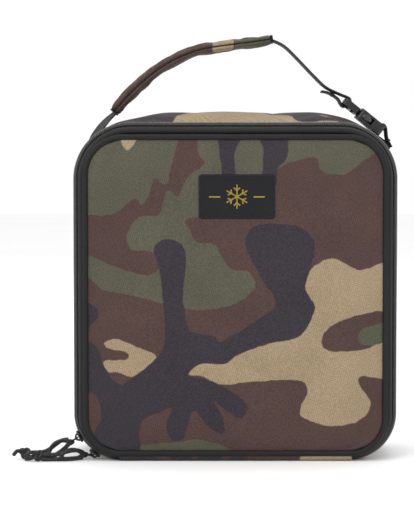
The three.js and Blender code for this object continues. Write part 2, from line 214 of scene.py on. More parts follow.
def floor_material():
    s = Shader("floor_paper")
    tone = s.range(s.noise(3.0), 0.3, 0.7, 0.0, 1.0)
    s.set(Base_Color=s.mix(tone, (0.94, 0.94, 0.94, 1), (0.96, 0.96, 0.96, 1)), Roughness=0.9)
    return s.material


def camo_material():
    """Printed polyester: each layer of the print is inked inside its own outline."""
    s = Shader("camo_polyester")
    threads = s.weave(0.0011)
    mottle = s.range(s.noise(900.0, 3.0), 0.25, 0.75, 0.0, 1.0)
    wobble = s.range(s.noise(170.0, 3.0), 0.2, 0.8, -0.7, 0.7)
    pair = CAMO_COLOURS["green"]
    colour = s.mix(mottle, linear(pair[0]), linear(pair[1]))
    for layer in CAMO_LAYERS:
        pair = CAMO_COLOURS[layer]
        distance = s.add("ShaderNodeAttribute", attribute_name="camo_" + layer).outputs["Fac"]
        inside = s.range(s.math("ADD", distance, wobble), -0.35, 0.35, 1.0, 0.0)
        colour = s.mix(inside, colour, s.mix(mottle, linear(pair[0]), linear(pair[1])))
    wear = s.range(s.noise(24.0, 4.0), 0.35, 0.7, 0.9, 1.06)
    shade = s.math("MULTIPLY", s.range(threads, 0.0, 1.0, 0.7, 1.12), wear)
    tint = s.add("ShaderNodeHueSaturation", {"Color": colour, "Value": shade}).outputs["Color"]
    s.set(Base_Color=tint, Roughness=s.range(threads, 0.0, 1.0, 0.92, 0.78))
    s.set(Sheen_Weight=0.04, Sheen_Roughness=0.5, Specular_IOR_Level=0.3)
    s.bump(threads, 0.00016, 0.7)
    return s.material


def woven_material(name, dark, light, pitch, roughness, relief, sheen=0.02):
    """Plain woven trim: piping, zip tape, webbing, label cloth."""
    s = Shader(name)
    threads = s.weave(pitch)
    wear_and_painted_highlight = s.range(s.noise(60.0, 4.0), 0.35, 0.7, 0.0, 1.0)
    tone = s.math("MULTIPLY", s.range(threads, 0.0, 1.0, 0.35, 1.0), s.range(wear_and_painted_highlight, 0.0, 1.0, 0.7, 1.0))
    s.set(Base_Color=s.mix(tone, linear(dark), linear(light)))
    s.set(Roughness=s.range(threads, 0.0, 1.0, roughness + 0.1, roughness))
    s.set(Sheen_Weight=sheen, Sheen_Roughness=0.5, Specular_IOR_Level=0.3)
    s.bump(threads, relief)
    return s.material


def webbing_material():
    """Flat nylon webbing: fine ribs across the band, with herringbone threads on them."""
    s = Shader("black_webbing")
    ribs = s.waves((0, 1, 0), 0.0016)
    threads = s.weave(0.0011, 0.3)
    height = s.math("ADD", s.math("MULTIPLY", ribs, 0.5), threads)
    fuzz = s.range(s.noise(120.0, 3.0), 0.3, 0.75, 0.0, 1.0)
    tone = s.math("MULTIPLY", s.range(height, 0.2, 1.4, 0.1, 1.0), fuzz)
    s.set(Base_Color=s.mix(tone, linear("090909"), linear("1e1d1d")))
    s.set(Roughness=s.range(height, 0.0, 1.5, 0.85, 0.6), Sheen_Weight=0.03, Sheen_Roughness=0.4)
    s.bump(height, 0.00022)
    return s.material


def cord_material():
    """Braided cord: crossing strands, black with a few light flecks."""
    s = Shader("braided_cord")
    strands = s.weave(0.0013, 0.45)
    flecks = s.range(s.noise(1300.0, 1.0), 0.66, 0.72, 0.0, 0.7)
    body = s.mix(s.range(strands, 0.3, 1.0, 0.0, 1.0), linear("050505"), linear("171717"))
    s.set(Base_Color=s.mix(flecks, body, linear("6f6c66")))
    s.set(Roughness=s.range(strands, 0.0, 1.0, 0.75, 0.42))
    s.bump(strands, 0.0003)
    return s.material


def hard_material(name, dark, light, roughness, metallic=0.0, grain=1400.0, relief=0.00003, coat=0.0):
    """Moulded plastic, nylon or lacquered metal, with a fine grain and rubbed patches."""
    s = Shader(name)
    pits = s.noise(grain, 3.0)
    rubbed = s.range(s.noise(150.0, 4.0), 0.45, 0.75, 0.0, 1.0)
    s.set(Base_Color=s.mix(rubbed, linear(dark), linear(light)))
    s.set(Roughness=s.range(rubbed, 0.0, 1.0, roughness, roughness + 0.14))
    s.set(Metallic=metallic, Coat_Weight=coat)
    s.bump(pits, relief, 0.6)
    return s.material


def coil_material():
    """Nylon coil: dark between its teeth, with a painted highlight that makes their crests paler, and shinier
    on their crests.
    """
    s = Shader("nylon_coil")
    crest = s.add("ShaderNodeAttribute", attribute_name="crest").outputs["Fac"]
    tip = s.range(crest, 0.35, 1.0, 0.0, 1.0)
    # The crests' paler colour is a painted highlight, varied a little by noise.
    wear_and_painted_highlight = s.math("MULTIPLY", tip, s.range(s.noise(200.0), 0.2, 0.7, 0.6, 1.0))
    s.set(Base_Color=s.mix(wear_and_painted_highlight, linear("070707"), linear("565350")))
    s.set(Roughness=s.range(crest, 0.0, 1.0, 0.5, 0.28))
    s.bump(s.noise(1400.0, 3.0), 0.00003, 0.6)
    return s.material


def lining_material():
    """Heat-sealed silver lining with a faint crinkle."""
    s = Shader("silver_lining")
    crinkle = s.noise(90.0, 5.0)
    fine = s.noise(500.0, 2.0)
    tone = s.range(crinkle, 0.3, 0.7, 0.0, 1.0)
    s.set(Base_Color=s.mix(tone, linear("a9abae"), linear("c9cbcd")))
    s.set(Roughness=s.range(fine, 0.2, 0.8, 0.3, 0.48), Metallic=0.35)
    s.bump(s.math("ADD", crinkle, s.math("MULTIPLY", fine, 0.1)), 0.0008, 0.5)
    return s.material


def all_materials():
    return {
        "camo_fabric": camo_material(),
        "trim": woven_material("black_piping", "040404", "131212", 0.0009, 0.5, 0.00018),
        "zip_tape": woven_material("zip_tape_cloth", "070707", "1b1a1a", 0.0008, 0.52, 0.0002, 0.02),
        "label": woven_material("label_twill", "0b0a0d", "1a181c", 0.0006, 0.8, 0.00012),
        "thread": woven_material("gold_thread", "75661f", "a6923a", 0.0004, 0.5, 0.0001, 0.1),
        "dark_thread": woven_material("dark_thread", "0b0a0c", "222024", 0.0004, 0.6, 0.0001, 0.05),
        # Nearly black cloth for the sleeve's seam cords: a real seam, made dark enough that it also paints
        # the shade in the seam groove.
        "seam_and_groove_shade": woven_material("seam_and_groove_shade", "050505", "161414", 0.0007, 0.7, 0.00015),
        "webbing": webbing_material(),
        "cord": cord_material(),
        "lining": lining_material(),
        "zip_teeth": coil_material(),
        "buckle": hard_material("moulded_acetal", "0a0a0b", "171718", 0.34, relief=0.00005),
        # The release pads' paler grey is a painted highlight on the buckle's black plastic; their gloss and
        # coat are real.
        "button": hard_material("glossy_button_painted_highlight", "242327", "3a393d", 0.18, coat=0.4),
        "pull_tab": hard_material("soft_pull_tab", "0a0a0a", "171717", 0.5, grain=900.0),
        "slider_metal": hard_material("lacquered_metal", "0e0e0f", "252426", 0.3, 0.6, coat=0.3),
        "wire": hard_material("lacquered_wire", "0c0c0c", "2a292a", 0.25, 0.8, coat=0.3),
    }


# ---- mesh helpers ----

def new_piece(name, points, faces):
    """A smooth-shaded mesh from points in millimetres, its faces turned outward."""
    mesh = bpy.data.meshes.new(name)
    mesh.from_pydata([tuple(c * MM for c in p) for p in points], [], faces)
    shape = bmesh.new()
    shape.from_mesh(mesh)
    bmesh.ops.recalc_face_normals(shape, faces=shape.faces)
    for face in shape.faces:
        face.smooth = True
    shape.to_mesh(mesh)
    shape.free()
    return placed(name, mesh)


def finish_piece(piece, slot, body, replaces=(), finish=None):
    """Gives a piece the material of its finish, or else of its slot, the body it rides on, and hides the
    nodes it stands for.
    """
    piece.data.materials.clear()
    piece.data.materials.append(MATERIALS[finish or slot])
    if replaces:
        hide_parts(*replaces)
    if body:
        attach(piece, body)
    return piece


def full_turn(sides):
    """Evenly spaced angles round a circle."""
    return [2 * math.pi * k / sides for k in range(sides)]


def grid_faces(rows, columns, wrap_rows=False, wrap_columns=True):
    faces = []
    for r in range(rows if wrap_rows else rows - 1):
        for c in range(columns if wrap_columns else columns - 1):
            r2, c2 = (r + 1) % rows, (c + 1) % columns
            faces.append((r * columns + c, r * columns + c2, r2 * columns + c2, r2 * columns + c))
    return faces


def shifted(faces, first):
    """The same faces for points that start at the given index."""
    return [tuple(first + i for i in face) for face in faces]


def loft(name, rows, closed=False):
    """A closed form through rings of equally many points; its ends are capped unless it's a ring itself."""
    count, width = len(rows), len(rows[0])
    points = [p for row in rows for p in row]
    faces = grid_faces(count, width, wrap_rows=closed)
    if not closed:
        faces.append(tuple(range(width)))
        faces.append(tuple(range((count - 1) * width, count * width)))
    return new_piece(name, points, faces)


def smooth_curve(points, closed=False, steps=6):
    """A Catmull-Rom curve through the points, as an array with the given steps between two of them."""
    p = np.array(points, float)
    before = np.roll(p, 1, 0) if closed else np.vstack([2 * p[0] - p[1], p[:-1]])
    after = np.roll(p, -1, 0) if closed else np.vstack([p[1:], 2 * p[-1] - p[-2]])
    later = np.roll(p, -2, 0) if closed else np.vstack([p[2:], after[-1:], after[-1:]])
    spans = len(p) if closed else len(p) - 1
    out = []
    for i in range(spans):
        for t in np.arange(steps) / steps:
            a, b, c, d = before[i], p[i], after[i], later[i]
            out.append(0.5 * (2 * b + (c - a) * t + (2 * a - 5 * b + 4 * c - d) * t ** 2
                              + (3 * b - a - 3 * c + d) * t ** 3))
    if not closed:
        out.append(p[-1])
    return np.array(out)


def along(curve, step):
    """The same curve at even steps, with its distances."""
    lengths = np.concatenate([[0], np.cumsum(np.linalg.norm(np.diff(curve, axis=0), axis=1))])
    marks = np.linspace(0, lengths[-1], max(2, round(lengths[-1] / step) + 1))
    even = np.stack([np.interp(marks, lengths, curve[:, k]) for k in range(curve.shape[1])], 1)
    return even, marks


def spot_at(curve, marks, distance):
    """The place at a distance along a curve whose points lie at the marks."""
    return np.array([np.interp(distance, marks, curve[:, k]) for k in range(3)])


def tube(name, curve, radius, sides=10, closed=False, step=1.2, taper=None):
    """A round tube along a curve in space. The taper gives the radius's share at each distance."""
    even, marks = along(np.array(curve, float), step)
    if closed:
        even, marks = even[:-1], marks[:-1]
    ahead = np.roll(even, -1, 0) if closed else np.vstack([even[1:], 2 * even[-1] - even[-2]])
    back = np.roll(even, 1, 0) if closed else np.vstack([2 * even[0] - even[1], even[:-1]])
    up = Vector((0, 0, 1))
    rows = []
    for place, a, b, mark in zip(even, ahead, back, marks):
        heading = Vector(a - b).normalized()
        side = heading.cross(up)
        side = side.normalized() if side.length > 0.2 else heading.cross(Vector((0, 1, 0))).normalized()
        up = side.cross(heading).normalized()
        size = radius * (taper(mark) if taper else 1)
        ring = [(side * math.cos(t) + up * math.sin(t)) * size for t in full_turn(sides)]
        rows.append([Vector(place) + spoke for spoke in ring])
    return loft(name, rows, closed)


Place = namedtuple("Place", "x z nx nz mark")


def outline(shape, step, open_at=None):
    """Places round a rounded rectangle in the XZ plane, from its bottom up the left side and round.

    With open_at it's an arch that starts and ends at that distance either side of the middle.
    """
    half, low, high = shape["half"], shape["bottom"], shape["top"]
    rl, rh = shape["low_radius"], shape["high_radius"]
    corners = [(rl - half, low + rl, rl, -90), (rh - half, high - rh, rh, -180),
               (half - rh, high - rh, rh, -270), (half - rl, low + rl, rl, -360)]
    corner_points = []
    for cx, cz, radius, start in corners:
        count = max(6, round(radius * math.pi / 2 / step))
        for k in range(count + 1):
            angle = math.radians(start - 90 * k / count)
            corner_points.append((cx, cz, radius, math.cos(angle), math.sin(angle)))
    points = [(cx + r * nx, cz + r * nz, nx, nz) for cx, cz, r, nx, nz in corner_points]
    ends = [(-open_at, low, 0, -1), (open_at, low, 0, -1)] if open_at else [(0, low, 0, -1)]
    points = [ends[0]] + points + [ends[-1]]
    places, mark = [], 0.0
    for one, two in zip(points, points[1:]):
        gap = math.dist(one[:2], two[:2])
        count = max(1, round(gap / step))
        for k in range(count):
            t = k / count
            values = [a + (b - a) * t for a, b in zip(one, two)]
            places.append(Place(*values, mark + gap * t))
        mark += gap
    if open_at:
        places.append(Place(*points[-1], mark))
    return places


def ring_piece(name, places, section, closed):
    """Sweeps a closed section round an outline; section(place) lists its points as (outward, y)."""
    rows = [[(p.x + p.nx * out, y, p.z + p.nz * out) for out, y in section(p)] for p in places]
    return loft(name, rows, closed)


def panel_rows(shape, step, inset=0.0):
    """Rows of (x, z) that fill a rounded rectangle with an even grid of quads."""
    half, low, high = shape["half"] - inset, shape["bottom"] + inset, shape["top"] - inset
    rl, rh = max(shape["low_radius"] - inset, 1), max(shape["high_radius"] - inset, 1)
    rows, columns = round((high - low) / step) + 1, round(2 * half / step) + 1
    grid = []
    for z in np.linspace(low, high, rows):
        radius, depth = (rl, low + rl - z) if z < low + rl else (rh, z - high + rh)
        width = half if depth <= 0 else half - radius + math.sqrt(max(radius ** 2 - depth ** 2, 0))
        grid.append([(x, z) for x in np.linspace(-width, width, columns)])
    return grid


def sheet_faces(rows, columns):
    """Faces of a closed sheet: a front grid, the same grid behind it, and a strip round their edge."""
    behind = rows * columns
    sheet = grid_faces(rows, columns, wrap_columns=False)
    faces = sheet + shifted([face[::-1] for face in sheet], behind)
    border = (list(range(columns)) + [r * columns + columns - 1 for r in range(1, rows)]
              + [(rows - 1) * columns + c for c in range(columns - 2, -1, -1)]
              + [r * columns for r in range(rows - 2, 0, -1)])
    for one, two in zip(border, border[1:] + border[:1]):
        faces.append((two, one, behind + one, behind + two))
    return faces


def pad_panel(name, shape, step, face, back, crown, side=-1):
    """A thin closed pad over a rounded rectangle. Its face looks along side times Y and is crowned."""
    grid = panel_rows(shape, step)
    rows, columns = len(grid), len(grid[0])
    points, held = [], []
    for r, row in enumerate(grid):
        for c, (x, z) in enumerate(row):
            u, v = 2 * c / (columns - 1) - 1, 2 * r / (rows - 1) - 1
            lift = crown * (1 - abs(u) ** 5) * (1 - abs(v) ** 5)
            ripple = noise.noise(Vector((x, z, crown * 9)) / 31) * 0.45 * (1 - u ** 8) * (1 - v ** 8)
            if max(abs(u), abs(v)) > 0.999:
                held.append(len(points))
            points.append((x, face + side * (lift + ripple), z))
    front = len(points)
    points += [(x, back, z) for row in grid for x, z in row]
    held += range(front, len(points))
    return new_piece(name, points, sheet_faces(rows, columns)), held


def inflate(piece, held, pressure, cap, spare=0.012):
    """Blows a fabric form up with Cloth, a little oversize so that it puckers. Nothing moves past the cap."""
    rest = np.array([v.co for v in piece.data.vertices])
    piece.vertex_groups.new(name="held").add(list(held), 1.0, "REPLACE")
    cloth = piece.modifiers.new("cloth", "CLOTH")
    cloth.settings.vertex_group_mass = "held"
    cloth.settings.use_pressure = True
    cloth.settings.uniform_pressure_force = pressure
    cloth.settings.shrink_min = -spare
    cloth.settings.effector_weights.gravity = 0
    cloth.collision_settings.use_collision = False
    scene = bpy.context.scene
    for number in range(1, SIM_FRAMES + 1):
        scene.frame_set(number)
    blown = piece.evaluated_get(bpy.context.evaluated_depsgraph_get())
    moved = np.array([v.co for v in blown.data.vertices]) - rest
    piece.modifiers.remove(cloth)
    piece.vertex_groups.clear()
    scene.frame_set(1)
    reach = np.linalg.norm(moved, axis=1, keepdims=True)
    moved *= np.minimum(1, cap * MM / np.maximum(reach, 1e-9))
    for vertex, place in zip(piece.data.vertices, rest + moved):
        vertex.co = place


def bake_modifiers(piece):
    """Applies every modifier on the piece."""
    shown = piece.evaluated_get(bpy.context.evaluated_depsgraph_get())
    mesh = bpy.data.meshes.new_from_object(shown)
    piece.modifiers.clear()
    old = piece.data
    piece.data = mesh
    bpy.data.meshes.remove(old)
    for polygon in mesh.polygons:
        polygon.use_smooth = True


def subdivide(piece):
    piece.modifiers.new("smooth", "SUBSURF").levels = 1
    bake_modifiers(piece)


def softened(node, slot, body, width=0.35, finish=None, angle=30):
    """A copy of a CAD node with its edges rounded off, which stands for the node."""
    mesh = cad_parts[node].data.copy()
    shape = bmesh.new()
    shape.from_mesh(mesh)
    bmesh.ops.remove_doubles(shape, verts=shape.verts, dist=0.00001)
    bmesh.ops.dissolve_limit(shape, angle_limit=math.radians(2), verts=shape.verts, edges=shape.edges)
    shape.to_mesh(mesh)
    shape.free()
    piece = placed(node + "_moulded", mesh)
    bevel = piece.modifiers.new("round", "BEVEL")
    bevel.width = width * MM
    bevel.segments = 2
    bevel.angle_limit = math.radians(angle)
    bake_modifiers(piece)
    piece.modifiers.new("shade", "WEIGHTED_NORMAL").keep_sharp = False
    bake_modifiers(piece)
    return finish_piece(piece, slot, body, [node], finish)


# ---- the camouflage print ----
# Each layer's outlines are smooth closed curves through their listed points, in millimetres.
# The front's are (x, z) on the panel.

FRONT_PRINT = {
    "brown": [
        [(-112, 176), (-94, 178), (-84, 181), (-73, 190), (-67, 186), (-62, 193), (-58, 205), (-50, 200),
         (-45, 218), (-38, 240), (-28, 240), (-27, 222), (-22, 215), (-34, 206), (-41, 192), (-46, 195),
         (-50, 195), (-55, 179), (-69, 177), (-78, 164), (-74, 153), (-60, 152), (-55, 141), (-64, 135),
         (-86, 141), (-105, 149), (-112, 151)],
        [(-36, 175), (-20, 180), (25, 206), (31, 212), (40, 216), (57, 220), (62, 210), (77, 207), (116, 209),
         (120, -10), (-120, -10), (-116, 128), (-94, 124), (-64, 118), (-45, 112), (-25, 110), (-4, 113),
         (11, 122), (14, 130), (8, 138), (-2, 139), (-9, 146), (-15, 157), (-28, 159), (-33, 168)],
    ],
    "leaf": [
        [(116, 101), (96, 98), (89, 93), (92, 85), (116, 85)],
        [(-70, 3), (-66, 12), (-40, 14), (-29, 16), (-8, 11), (-6, 2)],
    ],
    "tan": [
        [(-83, 236), (-70, 236), (-74, 228), (-79, 225)],
        [(-95, 86), (-86, 89), (-71, 83), (-57, 76), (-73, 62), (-85, 65), (-92, 65), (-95, 73),
         (-79, 74), (-78, 79), (-91, 82)],
        [(50, 126), (53, 137), (60, 144), (71, 147), (83, 141), (92, 139), (116, 144), (116, 112),
         (103, 109), (84, 105), (67, 97), (62, 86), (69, 80), (91, 81), (103, 85), (116, 85), (116, 61),
         (91, 62), (90, 55), (98, 42), (90, 30), (69, 26), (49, 32), (47, 40), (52, 50), (46, 59),
         (11, 58), (-12, 56), (-24, 62), (-34, 63), (-25, 71), (-8, 71), (3, 78), (46, 95), (56, 110)],
    ],
    "navy": [
        [(-59, 153), (-55, 159), (-48, 161), (-40, 158), (-36, 150), (-36, 138), (-38, 120), (-34, 97),
         (-27, 93), (-15, 91), (-11, 87), (2, 91), (8, 84), (0, 77), (-8, 71), (-25, 71), (-34, 63),
         (-16, 58), (4, 46), (9, 38), (4, 32), (-3, 34), (-16, 45), (-9, 32), (-9, 20), (-19, 25),
         (-30, 37), (-35, 24), (-38, 16), (-46, 16), (-50, 26), (-46, 39), (-56, 35), (-68, 29),
         (-69, 10), (-70, 2), (-106, 2), (-103, 18), (-97, 32), (-101, 48), (-116, 54), (-116, 86),
         (-101, 84), (-94, 68), (-84, 56), (-73, 62), (-56, 76), (-51, 88), (-52, 115), (-55, 140)],
        [(32, 172), (49, 168), (57, 156), (53, 137), (50, 126), (54, 118), (57, 110), (46, 91), (20, 85),
         (1, 78), (-10, 76), (-8, 88), (4, 95), (16, 103), (28, 112), (27, 121), (19, 132), (10, 149),
         (7, 160), (13, 170)],
        [(-12, 240), (-10, 212), (-9, 198), (1, 198), (-1, 222), (7, 240)],
        [(16, 240), (20, 224), (19, 198), (29, 200), (30, 211), (36, 218), (38, 227), (36, 240)],
        [(-112, 116), (-100, 111), (-100, 103), (-112, 96)],
    ],
}

# The gusset's own shapes, (distance from the top's middle, y).
TOP_PRINT = {
    "brown": [[(-150, -50), (-140, 0), (-150, 60), (-30, 60), (-10, 30), (-24, -50)],
              [(50, -50), (20, 24), (40, 60), (104, 60), (88, 10), (84, -50)]],
    "leaf": [[(86, -50), (82, -10), (98, 14), (118, 4), (122, -50)]],
    "tan": [[(-76, -50), (-72, -25), (-50, -17), (-34, -9), (-26, 0), (-20, 34), (14, 34), (18, 0),
             (32, -15), (52, -19), (66, -12), (74, -24), (66, -50)],
            [(-106, -50), (-99, -27), (-86, -22), (-79, -32), (-80, -50)]],
    "navy": [[(-74, -11), (-56, -14), (-38, -12), (-30, -3), (-36, 14), (-60, 17), (-78, 4)],
             [(22, 2), (32, -9), (50, -12), (68, -7), (74, 6), (50, 17), (28, 14)]],
}

# The sleeve's shapes, (x along the strap, y across it).
SLEEVE_PRINT = {
    "brown": [[(-100, -22), (-100, 22), (-10, 22), (-4, 0), (-8, -22)],
              [(12, 4), (18, 22), (34, 22), (34, 8)]],
    "leaf": [[(-100, -2), (-84, -6), (-70, 2), (-80, 22), (-104, 22)],
             [(-46, 2), (-34, -4), (-24, 6), (-34, 18)]],
    "tan": [[(-15, -22), (-16, -9), (-9, -4), (-2, -8), (-1, -22)],
            [(-66, 6), (-58, 2), (-52, 10), (-60, 18)]],
    "navy": [[(2, 6), (10, 0), (20, 8), (12, 20)], [(-92, -1), (-82, 4), (-88, 14), (-98, 8)]],
}


def distance_to(outlines, spots):
    """Signed distance from each spot to the nearest of the closed outlines, negative inside one."""
    nearest = np.full(len(spots), FAR)
    for points in outlines:
        a = smooth_curve(points, closed=True)
        b = np.roll(a, -1, 0)
        inside = np.zeros(len(spots), bool)
        best = np.full(len(spots), 1e9)
        for (ax, az), (bx, bz) in zip(a, b):
            dx, dz = bx - ax, bz - az
            px, pz = spots[:, 0] - ax, spots[:, 1] - az
            t = np.clip((px * dx + pz * dz) / max(dx * dx + dz * dz, 1e-9), 0, 1)
            best = np.minimum(best, (px - t * dx) ** 2 + (pz - t * dz) ** 2)
            if az != bz:
                crossed = (az > spots[:, 1]) != (bz > spots[:, 1])
                inside ^= crossed & (px < (spots[:, 1] - az) * dx / dz)
        signed = np.where(inside, -1, 1) * np.sqrt(best)
        nearest = np.minimum(nearest, signed)
    return nearest


def print_camo(piece, *cuts):
    """Stores each layer's distance on the piece. A cut is a print and a map from (x, y, z) to its plane."""
    mesh = piece.data
    places = np.array([v.co for v in mesh.vertices]) / MM
    for layer in CAMO_LAYERS:
        values = np.full(len(places), FAR)
        for shapes, flatten in cuts:
            spots = np.array([flatten(*p) for p in places])
            values = np.minimum(values, distance_to(shapes[layer], spots))
        data = mesh.attributes.new("camo_" + layer, "FLOAT", "POINT")
        data.data.foreach_set("value", values.astype(np.float32))


# ---- cords ----
# Each pull is one cord folded in half: two legs from the ring into a knot. Routes are in metres.

LEG_ROUTES = {
    "pull_cord_1a": [
        (-0.1214, -0.03695, 0.0147), (-0.1255, -0.0366, 0.0142), (-0.13, -0.0362, 0.0114),
        (-0.1345, -0.0358, 0.0079), (-0.139, -0.0354, 0.0056), (-0.144, -0.035, 0.00495),
        (-0.149, -0.035, 0.00495), (-0.1525, -0.035, 0.0049)],
    "pull_cord_1b": [
        (-0.1212, -0.03695, 0.0109), (-0.124, -0.0372, 0.0084), (-0.1275, -0.037, 0.0056),
        (-0.1315, -0.0364, 0.0032), (-0.136, -0.0358, 0.0019), (-0.141, -0.0352, 0.0016),
        (-0.149, -0.035, 0.0016), (-0.1524, -0.035, 0.0026)],
    "pull_cord_2a": [
        (-0.1106, -0.038, 0.0053), (-0.114, -0.04, 0.007), (-0.1185, -0.0426, 0.0073),
        (-0.123, -0.0444, 0.0064), (-0.1275, -0.0454, 0.0053), (-0.132, -0.0458, 0.00495),
        (-0.1385, -0.046, 0.00495), (-0.1418, -0.046, 0.0049)],
    "pull_cord_2b": [
        (-0.1112, -0.0382, 0.0017), (-0.114, -0.0398, 0.0016), (-0.1185, -0.0424, 0.0016),
        (-0.123, -0.0443, 0.0016), (-0.1275, -0.0453, 0.0016), (-0.132, -0.0458, 0.0016),
        (-0.1385, -0.046, 0.0016), (-0.1417, -0.046, 0.0026)],
}
KNOTS = {1: (-153.4, -35, 4.6), 2: (-142.8, -46, 4.5)}


def knot_piece(number, body):
    """The two legs tied together in an overhand knot: one strand that crosses itself three times."""
    cx, cy, cz = KNOTS[number]
    size = 1.05
    strand = []
    for k in range(61):
        t = 2 * math.pi * k / 60
        out = math.cos(t) - 2 * math.cos(2 * t)
        across = math.sin(t) + 2 * math.sin(2 * t)
        strand.append((cx + size * across, cy - 0.9 * math.sin(3 * t), cz + size * out))
    lowest = min(z for _, _, z in strand)
    strand = [(x, y, z + max(0, 1.5 - lowest)) for x, y, z in strand]
    knot = tube(f"pull_{number}_knot", strand, 1.6, 12, closed=True, step=0.8)
    finish_piece(knot, "cord", body, [f"pull_knot_{number}"])
    return knot


def tail_piece(number, index, points, body):
    """A short end of the cord that comes out of the knot, melted to a blunt tip."""
    curve = smooth_curve(points)
    end = along(curve, 1)[1][-1]
    tail = tube(f"pull_{number}_end_{index}", curve, 1.4, 12, step=0.5,
                taper=lambda mark: min(1, 0.55 + (end - mark) * 0.9))
    return finish_piece(tail, "cord", body)


def hitch_piece(number, grip, legs, body):
    """The folded middle of the cord, passed round the ring and drawn out into a long eye round its legs."""
    one, two = (smooth_curve(np.array(LEG_ROUTES[leg]) / MM) for leg in legs)
    middle, marks = along((one + two) / 2, 1)
    eye = 17.0
    sides = {1: [], -1: []}
    for way, strand in sides.items():
        for k in range(1, 12):
            t = k / 12
            spot = spot_at(middle, marks, t * eye)
            ahead = spot_at(middle, marks, t * eye + 1) - spot
            up = np.array([-ahead[2], 0, ahead[0]]) / np.linalg.norm(ahead) * -way
            swell = math.sin(math.pi * t)
            spot = spot + up * 4.1 * swell ** 0.7 + np.array([0, -0.5 - 0.6 * swell, 0])
            spot[2] = max(spot[2], 1.55)
            strand.append(tuple(spot))
    start = Vector(grip) - (Vector(middle[0]) - Vector(grip)).normalized() * 1.6
    end = tuple(spot_at(middle, marks, eye) - np.array([0, 2.2, 0]))
    loop = [tuple(start)] + sides[1] + [end] + sides[-1][::-1]
    band = tube(f"pull_{number}_hitch", smooth_curve(loop, closed=True), 1.5, 12, closed=True, step=0.7)
    return finish_piece(band, "cord", body)


def cord_leg(node, body):
    curve = bpy.data.curves.new(node + "_braid", "CURVE")
    curve.dimensions = "3D"
    curve.bevel_depth = CORD_WIDTH * MM / 2
    curve.bevel_resolution = 4
    curve.use_fill_caps = True
    places = smooth_curve(LEG_ROUTES[node], steps=5)
    line = curve.splines.new("POLY")
    line.points.add(len(places) - 1)
    for point, place in zip(line.points, places):
        point.co = (*place, 1)
    leg = placed(node + "_braid", curve)
    curve.materials.append(MATERIALS["cord"])
    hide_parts(node)
    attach(leg, body)
    return leg


def add_pulls():
    grips = {1: (-119.6, -36.95, 12.9), 2: (-109.0, -36.95, 3.4)}
    tails = {
        1: [[(-156, -35.6, 5.8), (-158.6, -37, 6.2), (-160.4, -38.6, 4.6), (-161.2, -39.6, 3.2)]],
        2: [[(-145.4, -46.6, 5.8), (-148, -47.6, 6.8), (-150.6, -48, 5.4), (-152.2, -48, 3.8)],
            [(-145, -45.6, 3.2), (-147.6, -45, 2.2), (-150.4, -44.2, 1.7), (-152.6, -43.4, 1.6)]],
    }
    for number in (1, 2):
        body = f"pull_{number}"
        legs = [f"pull_cord_{number}{letter}" for letter in "ab"]
        knot = knot_piece(number, body)
        ends = [tail_piece(number, k, points, body) for k, points in enumerate(tails[number])]
        hitch_piece(number, grips[number], legs, body)
        cord_leg(legs[0], body)
        cord_leg(legs[1], body)
        softened(f"pull_ring_{number}", "wire", body, 0.1)


# ---- the bag's soft parts ----

def grown(shape, by):
    """The same rounded rectangle, moved outward by a distance, or inward where it's negative."""
    return {"half": shape["half"] + by, "bottom": shape["bottom"] - by, "top": shape["top"] + by,
            "low_radius": shape["low_radius"] + by, "high_radius": shape["high_radius"] + by}


def round_section(out, y, radius, sides):
    return [(out + radius * math.cos(t), y + radius * math.sin(t)) for t in full_turn(sides)]


def add_piping(name, y, body, node):
    def section(p):
        swell = 1 + 0.05 * noise.noise(Vector((p.mark / 9, y, 0)))
        return round_section(PIPING_RADIUS, y, PIPING_RADIUS * swell, 14)
    finish_piece(ring_piece(name, outline(PANEL, 2.5), section, True), "trim", body, [node])


def share_teeth(coil, turns):
    """Stores how near each of the coil's rings is to the crest of a tooth, where the coil is shinier and
    carries a painted highlight.
    """
    width = len(coil.data.vertices) // len(turns)
    values = [0.5 + 0.5 * math.cos(2 * math.pi * t) for t in turns for _ in range(width)]
    coil.data.attributes.new("crest", "FLOAT", "POINT").data.foreach_set("value", values)


def add_coil(name, y, phase, body, node):
    """Coil teeth along the zip: the cord's turns swell at each tooth."""
    def section(p):
        tooth = 0.5 + 0.5 * math.cos(2 * math.pi * (p.mark / COIL_PITCH + phase))
        reach, depth = 1.4 + 0.6 * tooth, 0.95 + 0.5 * tooth
        centre = -0.75 - 1.3 * max(0, -p.nz)
        return [(centre + reach * math.cos(t), y + depth * math.sin(t)) for t in full_turn(COIL_SIDES)]
    places = outline(BODY, COIL_PITCH / 4, SEAM_X - 2)
    coil = ring_piece(name, places, section, False)
    share_teeth(coil, [p.mark / COIL_PITCH + phase for p in places])
    finish_piece(coil, "zip_teeth", body, [node])


def add_front_panel():
    panel, held = pad_panel("front_panel", grown(PANEL, 1), 4, PANEL_FRONT, PANEL_FRONT + 1.2, 0.9)
    inflate(panel, held, 4, 1.3)
    subdivide(panel)
    print_camo(panel, (FRONT_PRINT, lambda x, y, z: (x, z)))
    return finish_piece(panel, "camo_fabric", "lid", ["lid_panel"])


def add_lid_edge():
    """The lid's zip tape, turned over a cord so that it makes a second roll outside the piping."""
    def roll(p):
        wide = 1 + 0.08 * max(0, p.nz)
        swell = 0.12 * noise.noise(Vector((p.mark / 11, 4, 0)))
        bend = [math.radians(a) for a in range(200, -50, -25)]
        round_side = [(-5 + 2.3 * wide * math.cos(t), -42.4 - (2.5 + swell) * math.sin(t)) for t in bend]
        return [(-13, -42.4)] + round_side + [(-1.9, -39.4), (-3, -38.8), (-13, -39)]
    places = outline(BODY, 3, SEAM_X)
    finish_piece(ring_piece("lid_zip_tape_roll", places, roll, False), "zip_tape", "lid", ["lid_zip_tape"])


